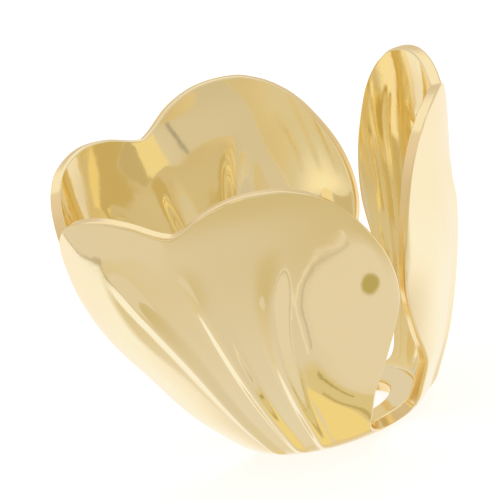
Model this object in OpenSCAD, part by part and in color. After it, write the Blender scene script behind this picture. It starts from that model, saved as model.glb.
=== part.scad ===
// Tulip bead cap: one stamped and plated metal sheet. A flat base plate with a threading
// hole carries three two-lobed petals, each pressed with three raised veins. Between the
// petals are keyhole slots. The cap stands on its base, mouth up, with the hole on +Z.

/* [Cap] */
// Overall height from the base to the highest lobe tip
cap_h = 10.75; // [8:0.25:14]
// Diameter of the circle round the widest part of the mouth
mouth_d = 14.5; // [12:0.25:18]
// Thickness of the sheet metal
wall = 0.4; // [0.3:0.05:0.5]

/* [Base plate] */
// Diameter of the flat base plate
base_d = 6.2; // [5.6:0.1:7]
// Diameter of the threading hole
bore_d = 3.8; // [1.2:0.1:4.2]
// How far the lip round the hole stands below the plate
lip_h = 0.1; // [0.05:0.01:0.2]
// Width of the lip round the hole
lip_w = 0.45; // [0.3:0.05:0.6]

/* [Petals] */
// Depth of the notch between the two lobes of a petal
notch_depth = 0.9; // [0.4:0.1:2]
// How far the lobe outline has dropped where it turns down towards the slot
shoulder_drop = 0.9; // [0.6:0.1:1.4]
// How far the lobe outline stands back from the slot's middle at that turn
shoulder_w = 2.0; // [1.4:0.1:2.4]

/* [Slots] */
// Widest part of the keyhole slot, near the base
slot_w = 2.3; // [1.4:0.1:2.6]
// Narrowest gap between two petals
slot_gap = 0.2; // [0.1:0.05:0.6]

/* [Veins] */
// Width of a vein near its tip
vein_w = 1.35; // [0.8:0.05:1.6]
// Height of a vein above the petal
vein_h = 0.15; // [0.05:0.05:0.3]

/* [Hidden] */

petals = 3;
sector = 360 / petals;
half_sector = sector / 2;
base_r = base_d / 2;
mouth_r = mouth_d / 2;
bore_r = bore_d / 2;
lip_r = bore_r + lip_w;
lip_round = 0.08;
plate_top = lip_h + wall;
// How deep the foot of a petal is let into the plate, top and bottom
foot_sink = 0.05;
// Station up to which the foot comes out of the plate
foot_share = 0.045;
// Share of its full width that a vein keeps at the base
vein_foot = 0.42;
// Share of the way to its neighbour that half a vein may take
vein_room = 0.46;
plate_fn = 96;
petal_rows = 27;
// More rows crowd towards the base, where the sheet bends
row_power = 1.35;

// The section of the petals, from the plate to the rim. Heights are shares of the height
// above the plate, radii are shares of the way from the base radius to the mouth radius,
// at the slot and at the middle of a petal.
// columns: station, height, radius at slot, radius at middle
PROFILE = [
    [0.000, 0.000, -0.072, -0.084],
    [0.035, 0.003,  0.005, -0.019],
    [0.070, 0.030,  0.108,  0.053],
    [0.110, 0.083,  0.228,  0.139],
    [0.200, 0.192,  0.436,  0.300],
    [0.335, 0.329,  0.604,  0.460],
    [0.502, 0.498,  0.825,  0.610],
    [0.651, 0.648,  0.935,  0.722],
    [0.814, 0.812,  0.988,  0.833],
    [0.930, 0.930,  1.018,  0.914],
    [1.000, 1.000,  1.030,  0.936]];
HEIGHT = 1;
AT_SLOT = 2;
AT_MIDDLE = 3;

// How far a petal's edge stands back from the slot's middle, as shares of the keyhole's
// half width and of the lobe's shoulder width.
// columns: station, keyhole, shoulder
SLOT = [
    [0.020, 0.27, 0.000],
    [0.050, 0.56, 0.000],
    [0.080, 0.78, 0.000],
    [0.115, 0.95, 0.000],
    [0.190, 0.98, 0.000],
    [0.250, 0.76, 0.000],
    [0.310, 0.51, 0.000],
    [0.420, 0.15, 0.000],
    [0.500, 0.01, 0.000],
    [0.620, 0.00, 0.060],
    [0.740, 0.00, 0.225],
    [0.880, 0.00, 0.550],
    [1.000, 0.00, 1.000]];
// The row where two petals come closest. Above it the stations stretch to end at the shoulder
CLOSEST_ROW = 8;

// How far the rim drops below the lobe tips, from the notch to the shoulder, as shares of
// the notch depth and of the shoulder drop.
// columns: share of the way to the shoulder, notch, shoulder
RIM = [
    [0.00, 1.000, 0.00],
    [0.08, 0.855, 0.00],
    [0.28, 0.280, 0.00],
    [0.51, 0.000, 0.00],
    [0.77, 0.000, 0.19],
    [1.00, 0.000, 1.00]];

// The path of a side vein, as a share of the half sector.
// columns: station, azimuth
SIDE_VEIN = [
    [0.00, 0.250],
    [0.08, 0.257],
    [0.27, 0.263],
    [0.45, 0.288],
    [0.58, 0.333],
    [0.73, 0.405],
    [1.00, 0.500]];

// Where the veins rise out of the sheet and sink back into it, as stations
VEIN_START = [0.03, 0.10];
VEIN_END = [0.62, 0.82];

// Columns of the petal's mesh on one side of its middle.
// columns: place between the middle (0), the side vein (1) and the edge (2),
// and shift in half vein widths
COLUMNS = [
    [0.0, 0.0], [0.0, 0.35], [0.0, 0.7], [0.0, 1.05], [0.5, 0.0],
    [1.0, -1.0], [1.0, -0.6], [1.0, -0.25], [1.0, 0.25], [1.0, 0.6], [1.0, 1.0],
    [1.25, 0.5], [1.45, 0.2], [1.65, 0.0], [1.82, 0.0], [1.93, 0.0], [2.0, 0.0]];

// Curve through the rows of a table: tangents follow the neighbouring rows
function row_of(tab, x, i = 0) = i >= len(tab) - 2 || x < tab[i + 1][0] ? i : row_of(tab, x, i + 1);
function slope(tab, c, i) =
    let (a = max(i - 1, 0), b = min(i + 1, len(tab) - 1))
    (tab[b][c] - tab[a][c]) / (tab[b][0] - tab[a][0]);
function curve(tab, c, x_in) =
    let (x = min(max(x_in, tab[0][0]), tab[len(tab) - 1][0]),
         i = row_of(tab, x),
         h = tab[i + 1][0] - tab[i][0],
         t = (x - tab[i][0]) / h)
    (2 * t * t * t - 3 * t * t + 1) * tab[i][c] + (t * t * t - 2 * t * t + t) * h * slope(tab, c, i)
    + (3 * t * t - 2 * t * t * t) * tab[i + 1][c] + (t * t * t - t * t) * h * slope(tab, c, i + 1);
function ramp(x, a, b) = let (t = min(max((x - a) / (b - a), 0), 1)) t * t * (3 - 2 * t);

// The petal's surface, at an azimuth from the petal's middle and a station
function height_at(w) = lip_h + (cap_h - lip_h) * curve(PROFILE, HEIGHT, w);
function radius_at(w, c) = base_r + (mouth_r - base_r) * curve(PROFILE, c, w);
function plain_radius(a, w) =
    let (s = radius_at(w, AT_SLOT), m = radius_at(w, AT_MIDDLE))
    (s + m) / 2 - (s - m) / 2 * cos(petals * a);

// Veins: raised ribs with a rounded section, wider towards their tips
function vein_spacing(w) = radius_at(w, AT_MIDDLE) * side_vein(w) * PI / 180;
function vein_half(w) =
    min(vein_w / 2 * (vein_foot + (1 - vein_foot) * ramp(w, 0, VEIN_END[1])),
        vein_room * vein_spacing(w));
function vein_fade(w) =
    ramp(w, VEIN_START[0], VEIN_START[1]) * (1 - ramp(w, VEIN_END[0], VEIN_END[1]));
function rib(x) = abs(x) >= 1 ? 0 : (1 + cos(180 * x)) / 2;
function side_vein(w) = half_sector * curve(SIDE_VEIN, 1, w);
function vein_rise(a, w) =
    let (k = plain_radius(a, w) * PI / 180 / vein_half(w))
    vein_h * vein_fade(w) * max(rib(a * k), rib((abs(a) - side_vein(w)) * k));
function skin_radius(a, w) = plain_radius(a, w) + vein_rise(a, w);

// Outline of the petal
function slot_half(w) =
    slot_gap / 2 + (slot_w - slot_gap) / 2 * curve(SLOT, 1, w)
    + shoulder_w * curve(SLOT, 2, shoulder_station(w));
function shoulder_station(w) = w <= closest ? w
    : closest + (1 - closest) * (w - closest) / (edge_end - closest);
function edge_azimuth(w) = half_sector - asin(slot_half(w) / radius_at(w, AT_SLOT));
closest = SLOT[CLOSEST_ROW][0];
edge_start = SLOT[0][0];
edge_end = 1 - shoulder_drop / cap_h;
function rim_station(u) =
    1 - notch_depth / cap_h * curve(RIM, 1, u) - shoulder_drop / cap_h * curve(RIM, 2, u);

// A point of the petal for a column and a share of the way up, on the outer or inner skin
function column_azimuth(col, v) =
    let (w = edge_start + v * (edge_end - edge_start),
         e = edge_azimuth(w),
         s = min(side_vein(w), 0.6 * e),
         shift = col[1] * vein_half(w) / radius_at(w, AT_MIDDLE) * 180 / PI)
    (col[0] <= 1 ? s * col[0] : s + (e - s) * (col[0] - 1)) + shift;
function station_at(u, v) = (1 - v) * u * edge_start + v * rim_station(u);
function skin_point(a, w, inner) =
    let (d = 0.004,
         r = skin_radius(a, w),
         z = height_at(w),
         dr = skin_radius(a, w + d) - skin_radius(a, w - d),
         dz = height_at(w + d) - height_at(w - d),
         n = norm([dr, dz]),
         sink = foot_sink * (1 - ramp(w, 0, foot_share)),
         pr = inner ? r - wall * dz / n : r,
         pz = inner ? z + wall * dr / n - sink : z + sink)
    [pr * cos(a), pr * sin(a), pz];

module petal() {
    half = len(COLUMNS);
    cols = 2 * half - 1;
    rows = petal_rows + 1;
    points = [for (inner = [false, true]) for (j = [0:petal_rows]) for (i = [0:cols - 1])
        let (v = pow(j / petal_rows, row_power),
             k = i - (half - 1),
             side = k < 0 ? -1 : 1,
             az = column_azimuth(COLUMNS[abs(k)], v),
             u = az / edge_azimuth(edge_start + v * (edge_end - edge_start)))
        skin_point(side * az, station_at(u, v), inner)];
    top = rows - 1;
    last = cols - 1;
    function at(i, j, skin) = skin * rows * cols + j * cols + i;
    // Each cell is split along its shorter diagonal, so that the sheet stays smooth
    function cell(a, b, c, d) =
        norm(points[a] - points[c]) <= norm(points[b] - points[d])
        ? [[a, b, c], [a, c, d]] : [[b, c, d], [b, d, a]];
    outer_faces = [for (j = [0:top - 1]) for (i = [0:last - 1])
        each cell(at(i, j, 0), at(i, j + 1, 0), at(i + 1, j + 1, 0), at(i + 1, j, 0))];
    inner_faces = [for (j = [0:top - 1]) for (i = [0:last - 1])
        each cell(at(i, j, 1), at(i + 1, j, 1), at(i + 1, j + 1, 1), at(i, j + 1, 1))];
    foot_faces = [for (i = [0:last - 1])
        each cell(at(i, 0, 0), at(i + 1, 0, 0), at(i + 1, 0, 1), at(i, 0, 1))];
    rim_faces = [for (i = [0:last - 1])
        each cell(at(i, top, 0), at(i, top, 1), at(i + 1, top, 1), at(i + 1, top, 0))];
    left_faces = [for (j = [0:top - 1])
        each cell(at(0, j, 0), at(0, j, 1), at(0, j + 1, 1), at(0, j + 1, 0))];
    right_faces = [for (j = [0:top - 1])
        each cell(at(last, j, 0), at(last, j + 1, 0), at(last, j + 1, 1), at(last, j, 1))];
    polyhedron(points, concat(outer_faces, inner_faces, foot_faces, rim_faces, left_faces,
        right_faces), convexity = 6);
}

module base_plate() {
    rotate_extrude($fn = plate_fn)
        polygon([
            [bore_r, plate_top],
            [bore_r, lip_round],
            [bore_r + lip_round, 0],
            [lip_r - lip_round, 0],
            [lip_r, lip_h],
            [base_r, lip_h],
            [base_r, plate_top]]);
}

module bead_cap() {
    color("khaki")
        union() {
            base_plate();
            for (k = [0:petals - 1])
                rotate([0, 0, half_sector + k * sector])
                    petal();
        }
}

bead_cap();
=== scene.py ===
"""Tulip bead cap: one sheet of pressed and plated brass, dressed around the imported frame."""
import logging
import math
from dataclasses import dataclass, field
from enum import Enum

import bpy
import numpy as np
from mathutils import Matrix, Vector


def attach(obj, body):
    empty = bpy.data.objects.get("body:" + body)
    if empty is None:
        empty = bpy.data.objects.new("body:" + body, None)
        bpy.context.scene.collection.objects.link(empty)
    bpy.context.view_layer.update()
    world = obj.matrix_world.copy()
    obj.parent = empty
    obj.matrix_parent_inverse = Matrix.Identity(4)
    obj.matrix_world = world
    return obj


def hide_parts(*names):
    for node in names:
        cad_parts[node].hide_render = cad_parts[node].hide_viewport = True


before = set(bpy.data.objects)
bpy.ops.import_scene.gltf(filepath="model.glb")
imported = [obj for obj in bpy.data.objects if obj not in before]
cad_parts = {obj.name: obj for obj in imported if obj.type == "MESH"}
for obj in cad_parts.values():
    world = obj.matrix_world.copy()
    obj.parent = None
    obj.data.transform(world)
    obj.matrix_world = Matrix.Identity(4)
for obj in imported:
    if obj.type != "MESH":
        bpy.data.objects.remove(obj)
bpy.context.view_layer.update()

MM = 0.001
LOG = logging.getLogger("bead_cap")
Array = np.ndarray
Arrays = tuple[Array, Array]
Table = list[list[float]]
Pair = tuple[float, float]
Color = tuple[float, float, float]
Noise = tuple[float, float, float]
Stops = tuple[tuple[float, Color], ...]
Corners = tuple[Pair, ...]
Node, Socket, NodeTree = bpy.types.Node, bpy.types.NodeSocket, bpy.types.NodeTree
Feeds = dict[str | int, object]


class Skin(Enum):
    """The two sides of the sheet."""

    OUTER = 0
    INNER = 1


class Column(Enum):
    """Columns of the section table."""

    HEIGHT = 1
    AT_SLOT = 2
    AT_MIDDLE = 3


# The section of a petal. Heights are shares of the height above the plate, radii are shares of
# the way from the base radius to the mouth radius, at the slot and at the petal's middle.
# columns: station, height, radius at slot, radius at middle
SECTION: Table = [
    [0.000, 0.000, -0.072, -0.084],
    [0.035, 0.003, 0.005, -0.019],
    [0.070, 0.030, 0.108, 0.053],
    [0.110, 0.083, 0.228, 0.139],
    [0.200, 0.192, 0.436, 0.300],
    [0.335, 0.329, 0.604, 0.460],
    [0.502, 0.498, 0.825, 0.610],
    [0.651, 0.648, 0.935, 0.722],
    [0.814, 0.812, 0.988, 0.833],
    [0.930, 0.930, 1.018, 0.914],
    [1.000, 1.000, 1.030, 0.936]]

# How far a petal's edge stands back from the slot's middle.
# columns: station, share of the keyhole's half width, share of the shoulder width
SLOT: Table = [
    [0.000, 0.93, 0.000],
    [0.115, 0.95, 0.000],
    [0.190, 0.98, 0.000],
    [0.250, 0.76, 0.000],
    [0.310, 0.51, 0.000],
    [0.420, 0.15, 0.000],
    [0.500, 0.01, 0.000],
    [0.620, 0.00, 0.060],
    [0.740, 0.00, 0.225],
    [0.880, 0.00, 0.545],
    [0.950, 0.00, 0.775],
    [1.000, 0.00, 1.000]]
# The station where two petals come closest.
CLOSEST = 0.5

# How far the rim drops below the lobe tips, from the notch to the shoulder.
# columns: share of the way to the shoulder, share of the notch depth, share of the drop
RIM: Table = [
    [0.00, 1.000, 0.00],
    [0.08, 0.855, 0.00],
    [0.28, 0.280, 0.00],
    [0.51, 0.000, 0.00],
    [0.77, 0.000, 0.19],
    [0.92, 0.000, 0.64],
    [1.00, 0.000, 1.00]]

# The path of a side vein.
# columns: station, azimuth as a share of the half sector
SIDE_VEIN: Table = [
    [0.00, 0.250],
    [0.08, 0.257],
    [0.27, 0.263],
    [0.45, 0.288],
    [0.58, 0.333],
    [0.73, 0.405],
    [1.00, 0.500]]


def table_curve(table: Table, column: int, x: Array) -> Array:
    """Reads a table as a curve through its rows.

    Args:
        table: rows that start with the place along the curve.
        column: which column to read.
        x: places to read it at.

    Returns:
        The column's value at each place.
    """
    xs = np.array([row[0] for row in table])
    ys = np.array([row[column] for row in table])
    x = np.clip(np.asarray(x, float), xs[0], xs[-1])
    slope = np.empty_like(ys)
    slope[1:-1] = (ys[2:] - ys[:-2]) / (xs[2:] - xs[:-2])
    slope[0] = (ys[1] - ys[0]) / (xs[1] - xs[0])
    slope[-1] = (ys[-1] - ys[-2]) / (xs[-1] - xs[-2])
    i = np.clip(np.searchsorted(xs, x, side="right") - 1, 0, len(xs) - 2)
    h = xs[i + 1] - xs[i]
    t = (x - xs[i]) / h
    return ((2 * t**3 - 3 * t**2 + 1) * ys[i] + (t**3 - 2 * t**2 + t) * h * slope[i]
            + (3 * t**2 - 2 * t**3) * ys[i + 1] + (t**3 - t**2) * h * slope[i + 1])


def ramp(x: Array, low: float, high: float) -> Array:
    """Rises smoothly from 0 at low to 1 at high."""
    t = np.clip((np.asarray(x, float) - low) / (high - low), 0, 1)
    return t * t * (3 - 2 * t)


def eased(values: Array, reach: float) -> Array:
    """Takes the kinks out of an evenly sampled curve.

    Args:
        values: the samples.
        reach: how many samples the easing reaches over.

    Returns:
        The eased samples.
    """
    half = int(3 * reach)
    k = np.exp(-0.5 * (np.arange(-half, half + 1) / reach) ** 2)
    before = values[0] - (values[1] - values[0]) * np.arange(half, 0, -1)
    after = values[-1] + (values[-1] - values[-2]) * np.arange(1, half + 1)
    return np.convolve(np.concatenate([before, values, after]), k / k.sum(), "valid")


def clearance(line: Array, steps: Array) -> Array:
    """Measures how far steps lead away from a line.

    Args:
        line: points along the line.
        steps: a step from each of them.

    Returns:
        The length of each step's part that is square to the line.
    """
    way = np.gradient(line, axis=0)
    way /= np.linalg.norm(way, axis=-1, keepdims=True)
    return np.linalg.norm(steps - way * np.sum(way * steps, -1, keepdims=True), axis=-1)


def store(mesh: bpy.types.Mesh, name: str, domain: str, values: Array) -> None:
    """Stores a field on a mesh.

    Args:
        mesh: the mesh that takes the field.
        name: the field's name.
        domain: POINT, EDGE or FACE.
        values: one number or one vector for each element.
    """
    vector = values.ndim == 2
    layer = mesh.attributes.new(name, "FLOAT_VECTOR" if vector else "FLOAT", domain)
    layer.data.foreach_set("vector" if vector else "value", values.astype(np.float32).ravel())


def new_node(tree: NodeTree, kind: str, feeds: Feeds, **values: object) -> Node:
    """Adds a node to a tree.

    Args:
        tree: the node tree.
        kind: the node's type.
        feeds: for each input its value, or the socket that is linked to it.
        values: the node's properties.

    Returns:
        The node.
    """
    node = tree.nodes.new(kind)
    for key, value in values.items():
        setattr(node, key, value)
    for key, value in feeds.items():
        if isinstance(value, Socket):
            tree.links.new(value, node.inputs[key])
        else:
            node.inputs[key].default_value = value
    return node


def mix_colors(tree: NodeTree, factor: float | Socket, a: Color | Socket, b: Color | Socket,
               blend: str = "MIX") -> Socket:
    """Mixes two colours.

    Args:
        tree: the node tree.
        factor: 0 gives the first colour, 1 gives the second blended over it.
        a: the first colour, or the socket that gives it.
        b: the second colour, or the socket that gives it.
        blend: how the second is blended over the first.

    Returns:
        The mixed colour's socket.
    """
    feeds: Feeds = {"Factor": factor}
    for key, value in ((6, a), (7, b)):
        feeds[key] = value if isinstance(value, Socket) else (*value, 1)
    return new_node(tree, "ShaderNodeMix", feeds, data_type="RGBA", blend_type=blend).outputs[2]


def pick_shader(tree: NodeTree, factor: Socket, first: Node, second: Node, end: str) -> None:
    """Ends a tree in one of two shaders.

    Args:
        tree: the node tree.
        factor: 0 picks the first shader, 1 the second.
        first: the first shader.
        second: the second shader.
        end: the name of the tree's output node.
    """
    feeds: Feeds = {0: factor, 1: first.outputs[0], 2: second.outputs[0]}
    pick = new_node(tree, "ShaderNodeMixShader", feeds)
    tree.links.new(pick.outputs[0], tree.nodes[end].inputs["Surface"])


def add_object(name: str, data: bpy.types.ID) -> bpy.types.Object:
    """Adds an object to the scene.

    Args:
        name: the object's name.
        data: its mesh or camera.

    Returns:
        The object.
    """
    obj = bpy.data.objects.new(name, data)
    bpy.context.collection.objects.link(obj)
    return obj


@dataclass(frozen=True)
class SheetSizes:
    """Named sizes of the cap in millimetres, as in the part's source, and its edge rounding."""

    height: float = 10.75
    mouth_d: float = 14.5
    wall: float = 0.4
    base_d: float = 6.2
    bore_d: float = 3.8
    lip_h: float = 0.1
    lip_w: float = 0.45
    notch_depth: float = 0.9
    shoulder_drop: float = 0.9
    shoulder_w: float = 2.0
    slot_w: float = 2.3
    slot_gap: float = 0.2
    vein_w: float = 1.35
    vein_h: float = 0.15
    edge_round: float = 0.10
    petals: int = 3


class Section:
    """The eased section of the sheet, from the threading hole to the rim."""

    BORE_STATION = -0.1
    STEP = 0.0005
    # How far the easing reaches in the bend and in the petal, and where one follows the other.
    BEND_EASING = 0.008
    PETAL_EASING = 0.034
    EASING_CHANGE = (0.14, 0.3)
    # How far apart two points are taken for a slope, as a station or in radians.
    PROBE = 0.002

    def __init__(self, sizes: SheetSizes) -> None:
        """Samples the section's curves once.

        Args:
            sizes: the cap's named sizes.
        """
        self.sizes = sizes
        base_r, mouth_r = sizes.base_d / 2, sizes.mouth_d / 2
        bore_share = (sizes.bore_d / 2 - base_r) / (mouth_r - base_r)
        table = [[self.BORE_STATION, 0.0, bore_share, bore_share]] + SECTION
        n = round((1 - self.BORE_STATION) / self.STEP)
        self.stations = np.linspace(self.BORE_STATION, 1, n + 1)
        blend = ramp(self.stations, *self.EASING_CHANGE)
        self.curves: dict[Column, Array] = {}
        for column in Column:
            raw = table_curve(table, column.value, self.stations)
            fine = eased(raw, self.BEND_EASING / self.STEP)
            soft = eased(raw, self.PETAL_EASING / self.STEP)
            share = fine + (soft - fine) * blend
            if column is Column.HEIGHT:
                self.curves[column] = sizes.lip_h + (sizes.height - sizes.lip_h) * share
            else:
                self.curves[column] = base_r + (mouth_r - base_r) * share

    def read(self, column: Column, w: Array) -> Array:
        """Reads one eased curve at the stations w."""
        return np.interp(w, self.stations, self.curves[column])

    def radius(self, az: Array, w: Array) -> Array:
        """Gives the plain outer skin's radius, mixed from its two sections."""
        s, m = self.read(Column.AT_SLOT, w), self.read(Column.AT_MIDDLE, w)
        return (s + m) / 2 - (s - m) / 2 * np.cos(self.sizes.petals * az)

    def plain(self, az: Array, w: Array) -> Array:
        """Gives points of the outer skin without its veins.

        Args:
            az: azimuths from the petal's middle, in radians.
            w: stations.

        Returns:
            An array of points, in millimetres.
        """
        r = self.radius(az, w)
        return np.stack([r * np.cos(az), r * np.sin(az), self.read(Column.HEIGHT, w)], -1)

    def normal(self, az: Array, w: Array, reach: float = PROBE) -> Array:
        """Gives the outward normals of the plain outer skin.

        Args:
            az: azimuths from the petal's middle, in radians.
            w: stations.
            reach: how far up and down the skin its slope is taken.

        Returns:
            An array of unit vectors.
        """
        low, high = np.maximum(w - reach, self.BORE_STATION), np.minimum(w + reach, 1)
        along = self.plain(az, high) - self.plain(az, low)
        across = self.plain(az + self.PROBE, w) - self.plain(az - self.PROBE, w)
        n = np.cross(across, along)
        return n / np.linalg.norm(n, axis=-1, keepdims=True)


class Outline:
    """The free edge of a petal and the places of the mesh's rows and columns."""

    # How far the slot's round end goes round before the petal's rows begin.
    CORNER_TURN = math.radians(50)
    # Millimetres between the base plate's radius and the slot's end.
    END_OFFSET = 0.02
    # Millimetres that a free edge's rounding may take from the sheet's face.
    EDGE_BAND = 0.15
    RING_STATIONS = [-0.1, -0.084, -0.076, -0.068, -0.060, -0.054, -0.049, -0.044, -0.036, -0.02]
    RING_BEND_ROWS = 7
    END_COLUMNS = 7
    VEIN_COLUMNS = 17
    LOBE_COLUMNS = 30
    # How the lobe's columns spread from the side vein to the edge, as a polynomial.
    LOBE_SPREAD = (0.7, 0.6, -0.3)
    # The side vein's highest share of the way to the edge.
    VEIN_LIMIT = 0.6
    ROWS = 84
    ROW_POWER = 1.12

    def __init__(self, section: Section) -> None:
        """Works out the rounded end of the slot.

        Args:
            section: the eased section that the outline lies on.
        """
        self.section = section
        self.sizes = section.sizes
        s = self.sizes
        w = section.stations
        r, z = section.read(Column.AT_SLOT, w), section.read(Column.HEIGHT, w)
        length = np.concatenate([[0], np.cumsum(np.hypot(np.diff(r), np.diff(z)))])
        self.end_radius = s.slot_gap / 2 + (s.slot_w - s.slot_gap) / 2 * SLOT[0][1]
        length -= np.interp(s.base_d / 2 + self.END_OFFSET, r, length)
        self.lengths = length
        self.edge_top = 1 - s.shoulder_drop / s.height
        corner = self.end_radius * (1 - math.cos(self.CORNER_TURN))
        self.corner_station = float(self.station_at_length(corner))

    def station_at_length(self, length: Array) -> Array:
        """Gives the station at a length up the slot from its end."""
        return np.interp(length, self.lengths, self.section.stations)

    def slot_half(self, w: Array) -> Array:
        """Gives half of the slot's width.

        Args:
            w: stations.

        Returns:
            Half widths in millimetres.
        """
        s = self.sizes
        stretched = np.where(
            w <= CLOSEST, w, CLOSEST + (1 - CLOSEST) * (w - CLOSEST) / (self.edge_top - CLOSEST))
        half = (s.slot_gap / 2 + (s.slot_w - s.slot_gap) / 2 * table_curve(SLOT, 1, w)
                + s.shoulder_w * table_curve(SLOT, 2, stretched))
        up = np.interp(w, self.section.stations, self.lengths) / self.end_radius
        return half * np.sqrt(1 - (1 - np.clip(up, 0, 1)) ** 2)

    def edge_azimuth(self, w: Array) -> Array:
        """Gives the azimuth of the petal's edge at the stations w, in radians."""
        half_sector = math.pi / self.sizes.petals
        return half_sector - np.arcsin(self.slot_half(w) / self.section.read(Column.AT_SLOT, w))

    def vein_azimuth(self, w: Array) -> Array:
        """Gives the azimuth of the side vein at the stations w, in radians."""
        return math.pi / self.sizes.petals * table_curve(SIDE_VEIN, 1, w)

    def rim_station(self, u: Array) -> Array:
        """Gives the rim's station.

        Args:
            u: shares of the way from the petal's middle to its shoulder.

        Returns:
            A station for each share.
        """
        s = self.sizes
        return (1 - s.notch_depth / s.height * table_curve(RIM, 1, u)
                - s.shoulder_drop / s.height * table_curve(RIM, 2, u))

    def half_places(self) -> Array:
        """Places the columns of one side.

        Returns:
            Places from the middle, where 1 is the side vein, 2 the edge's band and 3 the edge.
        """
        inner = np.linspace(0, 1, self.VEIN_COLUMNS + 1)
        t = np.linspace(0, 1, self.LOBE_COLUMNS)[1:]
        a, b, c = self.LOBE_SPREAD
        outer = 1 + t * (a + b * t + c * t * t)
        return np.concatenate([inner, outer, [3]])

    def band(self, edge: Array, across: Array) -> Array:
        """Gives how many times across, from each point of an edge, the next row or column lies."""
        return self.EDGE_BAND / clearance(edge, across)

    def station_way(self, az: Array, w: Array) -> Array:
        """Gives the way up the skin, as millimetres per station."""
        d = self.section.PROBE
        return (self.section.plain(az, w) - self.section.plain(az, w - d)) / d

    def azimuth_way(self, az: Array, w: Array) -> Array:
        """Gives the way round the skin, as millimetres per radian."""
        d = self.section.PROBE
        return (self.section.plain(az + d, w) - self.section.plain(az - d, w)) / (2 * d)

    def petal_grid(self) -> Arrays:
        """Lays the rows and columns over the petal.

        Returns:
            Azimuths and stations, each rows by columns.
        """
        half = self.half_places()
        places = np.concatenate([-half[:0:-1], half])
        side = np.sign(places)
        places = np.abs(places)

        def columns(w_side: Array) -> Arrays:
            """Spreads the columns from the middle to the edge.

            Args:
                w_side: the station where each row meets the edge.

            Returns:
                Azimuths, rows by columns, and each row's azimuth at the edge.
            """
            edge = self.edge_azimuth(w_side)
            rim = self.section.plain(edge, w_side)
            last = edge - self.band(rim, self.azimuth_way(edge, w_side))
            edge, last = edge[:, None], last[:, None]
            vein = np.minimum(self.vein_azimuth(w_side)[:, None], self.VEIN_LIMIT * edge)
            az = np.where(places <= 1, vein * places, vein + (last - vein) * (places - 1))
            return np.where(places > 2, edge, az), edge

        full = np.linspace(self.corner_station, self.edge_top, self.ROWS)
        az, edge = columns(full)
        rim_az, rim_w = az[-1] * side, self.rim_station(az[-1] / edge[-1])
        band = self.band(self.section.plain(rim_az, rim_w), self.station_way(rim_az, rim_w))
        v = np.linspace(0, 1, self.ROWS) ** self.ROW_POWER
        top = self.edge_top - band[0]
        w_side = np.append(self.corner_station + v * (top - self.corner_station), self.edge_top)
        az, edge = columns(w_side)
        rim = self.rim_station(az / edge)
        v = v[:, None]
        w = np.concatenate([(1 - v) * self.corner_station + v * (rim[:-1] - band), rim[-1:]])
        return az * side, w

    def ring_grid(self, top_az: Array) -> Arrays:
        """Lays the rows and columns over the base plate and its bend.

        Args:
            top_az: azimuths of the petal's lowest row.

        Returns:
            Azimuths and stations, each rows by columns.
        """
        turn = np.linspace(0, self.CORNER_TURN, self.END_COLUMNS + 1)[:-1]
        end_w = self.station_at_length(self.end_radius * (1 - np.cos(turn)))
        off = np.arcsin(self.end_radius * np.sin(turn) / self.section.read(Column.AT_SLOT, end_w))
        end_az = math.pi / self.sizes.petals - off
        az = np.concatenate([-end_az, top_az, end_az[::-1]])
        last = np.concatenate([end_w, np.full(len(top_az), self.corner_station), end_w[::-1]])
        first = self.RING_STATIONS[-1]
        rows = [np.full(len(az), w) for w in self.RING_STATIONS]
        arc = slice(0, self.END_COLUMNS + 1)
        points = self.section.plain(az[arc], last[arc])
        room = self.band(points, self.station_way(az[arc], last[arc]))[:-1]
        band = np.concatenate([room, np.full(len(top_az), room[-1]), room[::-1]])
        for k in range(1, self.RING_BEND_ROWS):
            rows.append(first + (last - band - first) * k / (self.RING_BEND_ROWS - 1))
        rows.append(last)
        return np.tile(az, (len(rows), 1)), np.array(rows)


@dataclass
class VeinPress:
    """The press marks of the three veins, as fields over the sheet."""

    outline: Outline
    # Stations between which the veins rise and fade.
    start: Pair = (0.03, 0.10)
    end: Pair = (0.62, 0.82)
    # The share of its width that a vein keeps at the base.
    foot: float = 0.42
    # The share of the way to the next vein that half a vein may fill.
    room: float = 0.46

    def fields(self, az: Array, w: Array) -> Arrays:
        """Gives where each point lies on the nearest vein.

        Args:
            az: azimuths from the petal's middle, in radians.
            w: stations.

        Returns:
            The distance from the vein's crest in half widths, and how far the vein has risen.
        """
        section, sizes = self.outline.section, self.outline.sizes
        vein = self.outline.vein_azimuth(w)
        half = sizes.vein_w / 2 * (self.foot + (1 - self.foot) * ramp(w, 0, self.end[1]))
        half = np.minimum(half, self.room * section.read(Column.AT_MIDDLE, w) * vein)
        nearest = np.minimum(np.abs(az), np.abs(np.abs(az) - vein))
        rise = ramp(w, *self.start) * (1 - ramp(w, *self.end))
        return nearest * section.radius(az, w) / half, rise


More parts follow.
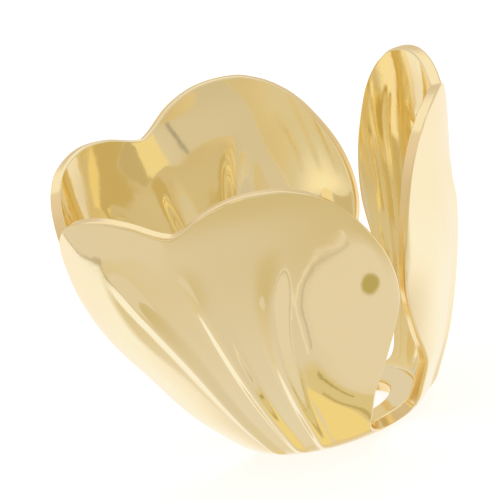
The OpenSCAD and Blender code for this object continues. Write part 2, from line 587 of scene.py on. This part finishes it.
@dataclass(frozen=True)
class Lattice:
    """The numbering of one skin's vertices: the base plate's rows, then the petal's."""

    ring_rows: int
    ring_cols: int
    rows: int
    cols: int

    def extra(self) -> int:
        """Gives how many columns the base plate has beyond each side of the petal."""
        return (self.ring_cols - self.cols) // 2

    def ring(self, i: int, j: int) -> int:
        """Gives the vertex in column i and row j of the base plate."""
        return j * self.ring_cols + i

    def petal(self, i: int, j: int) -> int:
        """Gives the vertex in column i and row j of the petal, whose row 0 is the plate's last."""
        above = self.ring_rows * self.ring_cols + (j - 1) * self.cols + i
        return above if j else self.ring(i + self.extra(), self.ring_rows - 1)

    def quads(self) -> list[tuple[int, ...]]:
        """Joins the vertices of the base plate and of the petal.

        Returns:
            The vertices of each face.
        """
        grids = ((self.ring, self.ring_rows, self.ring_cols), (self.petal, self.rows, self.cols))
        return [(at(i, j), at(i + 1, j), at(i + 1, j + 1), at(i, j + 1))
                for at, rows, cols in grids for j in range(rows - 1) for i in range(cols - 1)]

    def free_edge(self) -> tuple[list[int], list[int]]:
        """Follows the free edge from one neighbour to the other.

        Returns:
            The vertices along the edge, and for each of them the next vertex inside.
        """
        rows, cols, last = self.rows, self.cols, self.ring_rows - 1
        ends = [(self.ring(i, last), self.ring(i, last - 1)) for i in range(self.ring_cols)]
        edge = ends[:self.extra() + 1]
        edge += [(self.petal(0, j), self.petal(1, min(j, rows - 2))) for j in range(1, rows)]
        edge += [(self.petal(i, rows - 1), self.petal(min(i, cols - 2), rows - 2))
                 for i in range(1, cols)]
        edge += [(self.petal(cols - 1, j), self.petal(cols - 2, j))
                 for j in range(rows - 2, -1, -1)]
        edge += ends[self.extra() + cols:]
        return [at for at, _ in edge], [inside for _, inside in edge]


class SheetSector:
    """One petal with its third of the base plate, as a closed strip of sheet."""

    # How far along the section the inner skin's slope is taken, so that it doesn't fold.
    INNER_REACH = 0.02
    # The share of the room at an edge that its rounding may use.
    ROOM_USED = 0.75
    # Millimetres from the lip's nominal radius to its flat and to its foot.
    LIP_FLAT = 0.09
    LIP_FOOT = 0.03

    def __init__(self, sizes: SheetSizes) -> None:
        """Prepares the section, the outline and the veins.

        Args:
            sizes: the cap's named sizes.
        """
        self.sizes = sizes
        self.section = Section(sizes)
        self.outline = Outline(self.section)
        self.press = VeinPress(self.outline)

    def skin(self, az: Array, w: Array, side: Skin) -> Arrays:
        """Gives the points of one skin before the veins are pressed.

        Args:
            az: azimuths from the petal's middle, in radians.
            w: stations.
            side: which skin.

        Returns:
            Points in millimetres, and the outward normals of the sheet.
        """
        points, normals = self.section.plain(az, w), self.section.normal(az, w)
        s = self.sizes
        if side is Skin.INNER:
            return points - s.wall * self.section.normal(az, w, self.INNER_REACH), normals
        radius = np.hypot(points[..., 0], points[..., 1])
        lip_r = s.bore_d / 2 + s.lip_w
        away = ramp(radius, lip_r - self.LIP_FLAT, lip_r + self.LIP_FOOT)
        points[..., 2] -= s.lip_h * (1 - away) * (w < 0)
        points[..., 2] = np.maximum(points[..., 2], 0)
        return points, normals

    def mesh(self, name: str) -> bpy.types.Mesh:
        """Builds the sector's mesh with the fields that the press and the bevel read.

        Args:
            name: the mesh's name.

        Returns:
            The mesh, open only where it meets its neighbours.
        """
        petal_az, petal_w = self.outline.petal_grid()
        ring_az, ring_w = self.outline.ring_grid(petal_az[0])
        lattice = Lattice(*ring_az.shape, *petal_az.shape)
        az = np.concatenate([ring_az.ravel(), petal_az[1:].ravel()])
        w = np.concatenate([ring_w.ravel(), petal_w[1:].ravel()])
        count = len(az)
        outer, normals = self.skin(az, w, Skin.OUTER)
        inner, _ = self.skin(az, w, Skin.INNER)
        free, inward = lattice.free_edge()
        room = np.minimum(self.room(outer, free, inward), self.room(inner, free, inward))
        bore = [lattice.ring(i, 0) for i in range(lattice.ring_cols)]
        quads = lattice.quads()
        faces = [list(q) for q in quads] + [[v + count for v in reversed(q)] for q in quads]
        sharp: dict[tuple[int, int], float] = {}
        for chain, share in ((free, room), (bore[::-1], np.ones(len(bore)))):
            for k, (a, b) in enumerate(zip(chain, chain[1:])):
                faces.append([a, b, b + count, a + count])
                low, high = min(a, b), max(a, b)
                sharp[low, high] = sharp[low + count, high + count] = min(share[k:k + 2])

        mesh = bpy.data.meshes.new(name)
        mesh.from_pydata((np.concatenate([outer, inner]) * MM).tolist(), [], faces)
        mesh.validate()
        across, rise = self.press.fields(az, w)
        store(mesh, "vein_across", "POINT", np.tile(np.minimum(across, 1), 2))
        store(mesh, "vein_rise", "POINT", np.tile(rise, 2))
        store(mesh, "press_way", "POINT", np.tile(normals, (2, 1)))
        cut = np.zeros(len(mesh.polygons))
        cut[2 * len(quads):] = 1
        store(mesh, "cut_edge", "FACE", cut)
        weights = np.array([sharp.get(tuple(sorted(e.vertices)), 0.0) for e in mesh.edges])
        store(mesh, "bevel_weight_edge", "EDGE", weights)
        return mesh

    def room(self, points: Array, chain: list[int], inward: list[int]) -> Array:
        """Gives how much of the rounding fits between an edge and the vertices inside it.

        Args:
            points: the skin's points.
            chain: the vertices along the free edge.
            inward: for each of them the next vertex inside.

        Returns:
            Shares of the full rounding, at most 1.
        """
        clear = clearance(points[chain], points[inward] - points[chain])
        return np.minimum(self.ROOM_USED * clear / self.sizes.edge_round, 1)


class PetalTree:
    """Geometry Nodes that press the veins and repeat the petal round the axis."""

    def __init__(self, name: str) -> None:
        """Builds the node tree with its named inputs.

        Args:
            name: the tree's name.
        """
        self.tree = bpy.data.node_groups.new(name, "GeometryNodeTree")
        face = self.tree.interface
        face.new_socket("Geometry", in_out="INPUT", socket_type="NodeSocketGeometry")
        self.sockets = {
            key: face.new_socket(key, in_out="INPUT", socket_type=kind).identifier
            for key, kind in (("Petals", "NodeSocketInt"), ("Vein Height", "NodeSocketFloat"),
                              ("Weld Distance", "NodeSocketFloat"),
                              ("Finish", "NodeSocketMaterial"))}
        face.new_socket("Geometry", in_out="OUTPUT", socket_type="NodeSocketGeometry")
        self.wire()

    def node(self, kind: str, feeds: Feeds | None = None, **values: object) -> Node:
        """Adds a node to the tree, with its feeds and its properties."""
        return new_node(self.tree, kind, feeds or {}, **values)

    def math(self, operation: str, *feeds: object) -> Socket:
        """Adds a Math node over sockets or numbers and gives its output."""
        node = self.node("ShaderNodeMath", dict(enumerate(feeds)), operation=operation)
        return node.outputs[0]

    def named(self, name: str, kind: str = "FLOAT") -> Socket:
        """Reads a stored field by its name and data type."""
        node = self.node("GeometryNodeInputNamedAttribute", {"Name": name}, data_type=kind)
        return node.outputs["Attribute"]

    def wire(self) -> None:
        """Wires the tree from the sector to the welded cap."""
        inputs = self.node("NodeGroupInput").outputs
        wave = self.math("COSINE", self.math("MULTIPLY", self.named("vein_across"), math.pi))
        rib = self.math("MULTIPLY", self.math("ADD", wave, 1.0), 0.5)
        rise = self.math("MULTIPLY", rib, self.named("vein_rise"))
        rise = self.math("MULTIPLY", rise, inputs["Vein Height"])
        way = self.node("ShaderNodeVectorMath", operation="SCALE", feeds={
            0: self.named("press_way", "FLOAT_VECTOR"), "Scale": rise})
        press = self.node("GeometryNodeSetPosition", {
            "Geometry": inputs["Geometry"], "Offset": way.outputs[0]})

        places = self.node("GeometryNodeMeshLine", {
            "Count": inputs["Petals"], "Offset": (0, 0, 0)})
        step = self.math("DIVIDE", 2 * math.pi, inputs["Petals"])
        index = self.node("GeometryNodeInputIndex").outputs[0]
        turn = self.math("MULTIPLY", self.math("ADD", index, 0.5), step)
        euler = self.node("ShaderNodeCombineXYZ", {"Z": turn})
        repeat = self.node("GeometryNodeInstanceOnPoints", {
            "Points": places.outputs["Mesh"], "Instance": press.outputs["Geometry"],
            "Rotation": euler.outputs[0]})
        flow = repeat.outputs["Instances"]
        for kind, feeds in (("RealizeInstances", {}),
                            ("MergeByDistance", {"Distance": inputs["Weld Distance"]}),
                            ("SetShadeSmooth", {}),
                            ("SetMaterial", {"Material": inputs["Finish"]})):
            flow = self.node("GeometryNode" + kind, {"Geometry": flow, **feeds}).outputs[0]
        self.node("NodeGroupOutput", {0: flow})

    def apply(self, obj: bpy.types.Object, values: dict[str, object]) -> None:
        """Puts the tree on an object.

        Args:
            obj: the object whose mesh is one sector.
            values: one value for each named input.
        """
        modifier = obj.modifiers.new("petals", "NODES")
        modifier.node_group = self.tree
        for key, value in values.items():
            modifier[self.sockets[key]] = value


@dataclass(frozen=True)
class PlatedGold:
    """Pale gold plating on polished brass."""

    pale: Color = (0.978, 0.898, 0.665)
    warm: Color = (0.966, 0.878, 0.615)
    edge: Color = (0.950, 0.780, 0.460)
    # Roughness of the polished sheet, how it varies, and roughness of the sheared edges.
    polish: float = 0.055
    polish_range: Pair = (0.75, 1.45)
    worn: float = 0.16
    # Noises, each with its scale per metre, its finer layers and how strong they are.
    clouds: Noise = (260.0, 3.0, 0.5)
    smears: Noise = (832.0, 5.0, 0.62)
    dents: Noise = (520.0, 2.0, 0.5)
    peel: Noise = (2600.0, 4.0, 0.5)
    # The span of the smears that changes the polish.
    smear_span: Pair = (0.35, 0.7)
    # Strength and depth in metres of the dents and of the orange peel.
    dent_relief: Pair = (0.08, 0.00006)
    peel_relief: Pair = (0.12, 0.000012)

    def material(self) -> bpy.types.Material:
        """Builds the material: tint clouds, uneven polish, fine orange peel and sheared edges.

        Returns:
            The material.
        """
        mat = bpy.data.materials.new("plated_gold")
        mat.use_nodes = True
        tree = mat.node_tree
        shader = tree.nodes["Principled BSDF"]
        shader.inputs["Metallic"].default_value = 1.0
        coords = new_node(tree, "ShaderNodeTexCoord", {}).outputs["Object"]

        def noise(kind: Noise) -> Socket:
            """Adds a noise, given its scale, its finer layers and how strong they are."""
            feeds: Feeds = dict(zip(("Scale", "Detail", "Roughness"), kind), Vector=coords)
            return new_node(tree, "ShaderNodeTexNoise", feeds).outputs["Fac"]

        cut = new_node(tree, "ShaderNodeAttribute", {}, attribute_name="cut_edge").outputs["Fac"]
        tint = mix_colors(tree, noise(self.clouds), self.pale, self.warm)
        low, high = (self.polish * share for share in self.polish_range)
        rough = new_node(tree, "ShaderNodeMapRange", {
            "Value": noise(self.smears), "From Min": self.smear_span[0],
            "From Max": self.smear_span[1], "To Min": low, "To Max": high})
        shear = new_node(tree, "ShaderNodeMath", operation="MULTIPLY_ADD", feeds={
            0: cut, 1: self.worn - self.polish, 2: rough.outputs[0]})
        dents = new_node(tree, "ShaderNodeBump", {
            "Height": noise(self.dents), "Strength": self.dent_relief[0],
            "Distance": self.dent_relief[1]})
        peel = new_node(tree, "ShaderNodeBump", {
            "Height": noise(self.peel), "Strength": self.peel_relief[0],
            "Distance": self.peel_relief[1], "Normal": dents.outputs[0]})
        for key, value in (("Base Color", mix_colors(tree, cut, tint, self.edge)),
                           ("Roughness", shear.outputs[0]), ("Normal", peel.outputs[0])):
            tree.links.new(value, shader.inputs[key])
        return mat


@dataclass
class BeadCap:
    """The whole cap: base plate, three petals and their veins in one sheet."""

    sizes: SheetSizes = field(default_factory=SheetSizes)
    finish: PlatedGold = field(default_factory=PlatedGold)

    WELD_DISTANCE = 0.001
    ROUNDING_STEPS = 8

    def build(self) -> bpy.types.Object:
        """Builds the cap, rounds its cut edges and puts it in place of the plain solid.

        Returns:
            The finished object.
        """
        draft = add_object("cap_draft", SheetSector(self.sizes).mesh("cap_sector"))
        PetalTree("cap_petals").apply(draft, {
            "Petals": self.sizes.petals,
            "Vein Height": self.sizes.vein_h * MM,
            "Weld Distance": self.WELD_DISTANCE * MM,
            "Finish": self.finish.material()})
        bevel = draft.modifiers.new("cut_edges", "BEVEL")
        bevel.limit_method = "WEIGHT"
        bevel.width = self.sizes.edge_round * MM
        bevel.segments = self.ROUNDING_STEPS
        bevel.use_clamp_overlap = False
        bevel.harden_normals = True
        graph = bpy.context.evaluated_depsgraph_get()
        mesh = bpy.data.meshes.new_from_object(draft.evaluated_get(graph))
        mesh.name = "gold_cap"
        bpy.data.objects.remove(draft, do_unlink=True)
        cap = add_object("gold_cap", mesh)
        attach(cap, "root")
        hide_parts("bead_cap")
        return cap


@dataclass(frozen=True)
class Card:
    """A toned card under the floor that shows only as a reflection in the plating."""

    name: str
    glow: Color
    # Millimetres below the floor.
    away: float
    # The share of an area that its soft edge takes.
    soft: float
    corners: Corners
    # A ribbon's width, and the share of it that is lost towards the ribbon's end.
    width: float = 0.0
    taper: float = 0.0

    STEPS = 8
    # Places across a ribbon, as shares of its half width, each with its cover.
    LANES = ((-1.0, 0.0), (-0.4, 1.0), (0.4, 1.0), (1.0, 0.0))

    def path(self) -> Array:
        """Draws a smooth line through the corners, closed unless the card is a ribbon.

        Returns:
            Points of the line, in the units of the corners.
        """
        rows = list(self.corners)
        first, last = 0, len(rows) - 1
        if not self.width:
            rows = rows[-2:] + rows + rows[:3]
            first, last = 2, len(rows) - 3
        table = [[i, x, y] for i, (x, y) in enumerate(rows)]
        t = np.linspace(first, last, (last - first) * self.STEPS + 1)
        return np.stack([table_curve(table, 1, t), table_curve(table, 2, t)], -1)

    def lanes(self) -> list[tuple[Array, float]]:
        """Lays the card's lanes.

        Returns:
            The points of each lane with its cover, from one edge to the other or inwards.
        """
        path = self.path()
        if not self.width:
            centre = path.mean(0)
            return [(path, 0.0), (centre + (path - centre) * (1 - self.soft), 1.0)]
        way = np.gradient(path, axis=0)
        side = np.stack([-way[:, 1], way[:, 0]], -1)
        side /= np.linalg.norm(side, axis=-1, keepdims=True)
        side *= self.width / 2 * (1 - self.taper * np.linspace(0, 1, len(path))[:, None])
        return [(path + side * place, cover) for place, cover in self.LANES]

    def point(self, x: float, y: float) -> tuple[float, float, float]:
        """Gives the place of a corner, level below the floor."""
        return x * MM, y * MM, -self.away * MM

    def mesh(self) -> bpy.types.Mesh:
        """Builds the card's mesh.

        Returns:
            The mesh, with its cover as a field.
        """
        lanes = self.lanes()
        count = len(lanes[0][0])
        verts = [self.point(x, y) for lane, _ in lanes for x, y in lane]
        faces = [(k * count + i, k * count + i + 1, (k + 1) * count + i + 1, (k + 1) * count + i)
                 for k in range(len(lanes) - 1) for i in range(count - 1)]
        if not self.width:
            faces.append(tuple(range(count, 2 * count - 1)))
        mesh = bpy.data.meshes.new(self.name)
        mesh.from_pydata(verts, [], faces)
        cover = np.repeat([cover for _, cover in lanes], count)
        store(mesh, "cover", "POINT", cover)
        return mesh

    def material(self) -> bpy.types.Material:
        """Builds the card's own glow, let through where its cover ends.

        Returns:
            The material.
        """
        mat = bpy.data.materials.new(self.name)
        mat.use_nodes = True
        tree = mat.node_tree
        light = new_node(tree, "ShaderNodeEmission", {"Color": (*self.glow, 1)})
        cover = new_node(tree, "ShaderNodeAttribute", {}, attribute_name="cover")
        clear = new_node(tree, "ShaderNodeBsdfTransparent", {})
        pick_shader(tree, cover.outputs["Fac"], clear, light, "Material Output")
        return mat

    def place(self) -> None:
        """Puts the card on the stage, hidden from all but reflections."""
        mesh = self.mesh()
        mesh.materials.append(self.material())
        card = add_object(self.name, mesh)
        for way in ("camera", "diffuse", "shadow", "transmission"):
            setattr(card, "visible_" + way, False)


@dataclass(frozen=True)
class StandingCard(Card):
    """A toned card that stands upright, so many millimetres away from the cap."""

    def point(self, x: float, y: float) -> tuple[float, float, float]:
        """Gives the place of a corner from its degrees round and its millimetres up."""
        angle = math.radians(x)
        return self.away * MM * math.cos(angle), self.away * MM * math.sin(angle), y * MM


def panel(first: float, last: float, heights: tuple[float, ...]) -> Corners:
    """Gives the corners of a standing card between two azimuths."""
    return tuple((first, z) for z in heights) + tuple((last, z) for z in reversed(heights))


# The level cards' corners are in millimetres from the threading hole, seen from above.
CARDS = (
    Card("card_foot", (0.90, 0.72, 0.32), 3.0, 0.06,
         ((4.1, -6.9), (4.4, -5.6), (4.4, -4.0), (4.0, -1.8), (3.2, 0.2), (2.4, -0.8),
          (2.0, -2.4), (2.9, -4.2), (3.8, -6.0))),
    Card("card_foot_line", (0.56, 0.43, 0.17), 2.95, 0.0,
         ((4.65, -5.2), (4.6, -4.0), (4.2, -1.6), (3.3, 0.6)), 0.3),
    Card("card_foot_band", (0.73, 0.60, 0.33), 3.02, 0.2,
         ((5.0, -7.4), (6.0, -6.3), (6.2, -4.2), (5.9, -1.8), (4.8, 1.2), (3.0, 0.0),
          (2.4, -2.8), (4.0, -6.2))),
    Card("card_foot_dash", (0.44, 0.35, 0.13), 2.9, 0.0,
         ((5.5, -5.9), (5.6, -5.0), (5.6, -4.0), (5.4, -2.6)), 0.32, 0.5),
    Card("card_spot", (0.50, 0.41, 0.15), 2.8, 0.3,
         ((17.1, -0.1), (16.3, 1.3), (14.9, 1.8), (13.5, 1.0), (12.9, -0.5), (13.7, -2.0),
          (15.2, -2.4), (16.7, -1.6))),
    Card("card_left", (0.77, 0.67, 0.52), 3.0, 0.03,
         ((0.0, -20.5), (-8.0, -20.5), (-17.0, -20.0), (-27.0, -17.5), (-40.0, -17.0),
          (-60.0, -20.0), (-70.0, -45.0), (-50.0, -70.0), (-20.0, -75.0), (-5.0, -45.0))),
    Card("card_left_line", (0.52, 0.43, 0.29), 2.95, 0.0,
         ((-15.5, -20.1), (-17.0, -20.0), (-21.0, -19.0), (-27.0, -17.5), (-40.0, -17.0)),
         0.9, 0.3),
    Card("card_lobe", (0.80, 0.70, 0.555), 3.1, 0.2,
         ((26.0, -3.5), (20.5, -9.6), (15.0, -11.8), (10.0, -11.2), (7.4, -9.0), (5.9, -6.8),
          (5.4, -3.5), (5.2, -0.5), (6.0, 3.6), (16.5, 4.6), (25.0, 2.6))),
    Card("card_line_pale", (0.86, 0.76, 0.60), 2.95, 0.0,
         ((25.0, -3.2), (20.0, -9.8), (15.0, -12.0), (9.8, -11.5), (7.3, -9.2), (5.8, -7.0)),
         0.6, 0.45),
    Card("card_line_dark", (0.60, 0.52, 0.40), 2.96, 0.0,
         ((24.2, -3.0), (19.6, -9.2), (14.8, -11.3), (10.2, -10.8), (7.9, -8.8), (6.3, -6.9)),
         0.65, 0.6),
    StandingCard("card_back_line", (0.42, 0.36, 0.27), 150.0, 0.0,
                 ((17.0, 2.0), (17.0, 20.0), (17.0, 40.0), (17.0, 60.0)), 2.6),
    StandingCard("card_back_gold", (0.90, 0.73, 0.37), 150.0, 0.1,
                 panel(25.0, 35.0, (2.0, 25.0, 50.0, 75.0))),
    StandingCard("card_back_olive", (0.58, 0.45, 0.22), 151.0, 0.1,
                 panel(33.0, 52.0, (2.0, 25.0, 50.0, 75.0))),
    StandingCard("card_side_gold", (0.92, 0.76, 0.42), 150.0, 0.1,
                 panel(-50.0, -62.0, (32.0, 50.0, 80.0, 110.0))),
    StandingCard("card_side_olive", (0.62, 0.50, 0.27), 151.0, 0.1,
                 panel(-63.0, -84.0, (32.0, 50.0, 80.0, 110.0))),
    StandingCard("card_side_pale", (1.00, 0.90, 0.72), 152.0, 0.15,
                 panel(-64.0, -90.0, (1.0, 10.0, 20.0, 31.0))),
)


@dataclass
class Studio:
    """A plain pale floor, soft light from all sides and the camera."""

    azimuth: float = 60.0
    elevation: float = 18.0
    roll: float = 19.1
    # Metres: how far away the camera is, how wide it sees there, and where it aims, to the
    # right of the axis and up.
    distance: float = 0.2
    view_width: float = 0.0168
    aim: Pair = (-0.00105, 0.0067)
    sensor: float = 36.0
    floor_half: float = 2.0
    floor_drop: float = 0.00001
    floor_tone: Color = (0.5, 0.5, 0.5)
    floor_glow: float = 0.73
    # Light by the height of its direction, from straight below at -1 to straight above at 1,
    # on the camera's side and beyond the cap.
    near_light: Stops = (
        (-1.00, (0.73, 0.60, 0.36)),
        (-0.90, (0.73, 0.64, 0.49)),
        (-0.70, (0.73, 0.63, 0.47)),
        (-0.48, (0.66, 0.54, 0.31)),
        (-0.10, (0.66, 0.56, 0.38)),
        (0.20, (0.71, 0.61, 0.44)),
        (0.36, (0.67, 0.58, 0.44)),
        (0.75, (0.75, 0.67, 0.56)))
    far_light: Stops = (
        (-1.00, (0.84, 0.67, 0.29)),
        (-0.90, (0.79, 0.66, 0.48)),
        (-0.64, (1.01, 0.94, 0.86)),
        (-0.42, (1.01, 0.93, 0.84)),
        (-0.20, (0.95, 0.84, 0.66)),
        (-0.08, (0.80, 0.69, 0.52)),
        (0.14, (0.72, 0.64, 0.52)),
        (0.34, (0.76, 0.67, 0.53)),
        (0.50, (0.80, 0.76, 0.72)),
        (0.75, (1.12, 1.04, 0.96)))
    # The near light is lifted at the sides. The reaches say how far a direction faces the
    # camera, swung round by some degrees, where one light gives way to the next.
    side_lift: Color = (1.10, 1.12, 1.20)
    swing: float = -15.0
    side_reach: Pair = (0.0, 0.6)
    far_reach: Pair = (-0.17, -0.06)

    def camera_frame(self) -> tuple[Vector, Vector, Vector]:
        """Works out the camera's directions, before its roll.

        Returns:
            The directions to the right, up and back to the camera.
        """
        angle, tilt = math.radians(self.azimuth - 90), math.radians(self.elevation)
        back = Vector((math.cos(tilt) * math.cos(angle), math.cos(tilt) * math.sin(angle),
                       math.sin(tilt)))
        right = Vector((-math.sin(angle), math.cos(angle), 0))
        return right, back.cross(right), back

    def add_camera(self) -> None:
        """Puts the camera at the photograph's angle, leaning as it does."""
        right, up, back = self.camera_frame()
        lean = math.radians(self.roll)
        x = right * math.cos(lean) - up * math.sin(lean)
        y = right * math.sin(lean) + up * math.cos(lean)
        aim = Vector((0, 0, self.aim[1])) + right * self.aim[0]
        data = bpy.data.cameras.new("camera")
        data.sensor_width = self.sensor
        data.lens = self.sensor * self.distance / self.view_width
        data.clip_start = 0.01
        data.clip_end = 50
        camera = add_object("camera", data)
        turn = Matrix((x, y, back)).transposed().to_4x4()
        camera.matrix_world = Matrix.Translation(aim + back * self.distance) @ turn
        bpy.context.scene.camera = camera

    def add_floor(self) -> None:
        """Lays the plain pale floor, which is clear from below and in reflections."""
        mesh = bpy.data.meshes.new("floor")
        half, level = self.floor_half, -self.floor_drop
        corners = [(x, y, level) for x, y in ((-half, -half), (half, -half), (half, half),
                                              (-half, half))]
        mesh.from_pydata(corners, [], [(0, 1, 2, 3)])
        mat = bpy.data.materials.new("floor")
        mat.use_nodes = True
        tree = mat.node_tree
        shader = tree.nodes["Principled BSDF"]
        for key, value in (("Base Color", (*self.floor_tone, 1)), ("Roughness", 1.0),
                           ("Specular IOR Level", 0.0), ("Emission Color", (1, 1, 1, 1)),
                           ("Emission Strength", self.floor_glow)):
            shader.inputs[key].default_value = value
        below = new_node(tree, "ShaderNodeNewGeometry", {}).outputs["Backfacing"]
        clear = new_node(tree, "ShaderNodeBsdfTransparent", {})
        pick_shader(tree, below, shader, clear, "Material Output")
        mesh.materials.append(mat)
        floor = add_object("floor", mesh)
        floor.visible_glossy = False

    def add_light(self) -> None:
        """Surrounds the cap with soft light, dimmer on the camera's side."""
        world = bpy.data.worlds.new("studio")
        bpy.context.scene.world = world
        world.use_nodes = True
        tree = world.node_tree
        coords = new_node(tree, "ShaderNodeTexCoord", {}).outputs["Generated"]
        height = new_node(tree, "ShaderNodeSeparateXYZ", {0: coords}).outputs["Z"]
        rise = new_node(tree, "ShaderNodeMapRange", {"Value": height, "From Min": -1.0})
        angle = math.radians(self.azimuth - 90 + self.swing)
        facing = new_node(tree, "ShaderNodeVectorMath", operation="DOT_PRODUCT", feeds={
            0: coords, 1: (math.cos(angle), math.sin(angle), 0)})

        def by_height(stops: Stops) -> Socket:
            """Adds a light that changes with the height of its direction.

            Args:
                stops: heights with their colours.

            Returns:
                The light's colour.
            """
            node = new_node(tree, "ShaderNodeValToRGB", {"Fac": rise.outputs[0]})
            node.color_ramp.interpolation = "CARDINAL"
            marks = node.color_ramp.elements
            while len(marks) < len(stops):
                marks.new(0.5)
            for mark, (place, color) in zip(marks, stops):
                mark.position = (place + 1) / 2
                mark.color = (*color, 1)
            return node.outputs[0]

        def by_facing(reach: Pair) -> Socket:
            """Adds a fade over directions that face the camera more and more.

            Args:
                reach: how far the direction faces the camera at its start and at its end.

            Returns:
                The fade, from 0 to 1.
            """
            return new_node(tree, "ShaderNodeMapRange", interpolation_type="SMOOTHSTEP", feeds={
                "Value": facing.outputs["Value"], "From Min": reach[0],
                "From Max": reach[1]}).outputs[0]

        lift = mix_colors(tree, by_facing(self.side_reach), self.side_lift, (1, 1, 1))
        near = mix_colors(tree, 1.0, by_height(self.near_light), lift, "MULTIPLY")
        glow = mix_colors(tree, by_facing(self.far_reach), by_height(self.far_light), near)
        backdrop = tree.nodes["Background"]
        tree.links.new(glow, backdrop.inputs["Color"])
        plain = new_node(tree, "ShaderNodeBackground", {})
        sight = new_node(tree, "ShaderNodeLightPath", {}).outputs["Is Camera Ray"]
        pick_shader(tree, sight, backdrop, plain, "World Output")

    def build(self) -> None:
        """Sets the stage, with enough bounces for light between the petals."""
        scene = bpy.context.scene
        scene.view_settings.view_transform = "Standard"
        scene.cycles.max_bounces = 16
        scene.cycles.glossy_bounces = 12
        self.add_camera()
        self.add_floor()
        self.add_light()
        for card in CARDS:
            card.place()


def main() -> None:
    """Builds the stage and the cap, and logs the cap's face count."""
    logging.basicConfig(level=logging.INFO, format="%(name)s: %(message)s")
    Studio().build()
    cap = BeadCap().build()
    LOG.info("%s: %d faces", cap.name, len(cap.data.polygons))


if __name__ == "__main__":
    main()
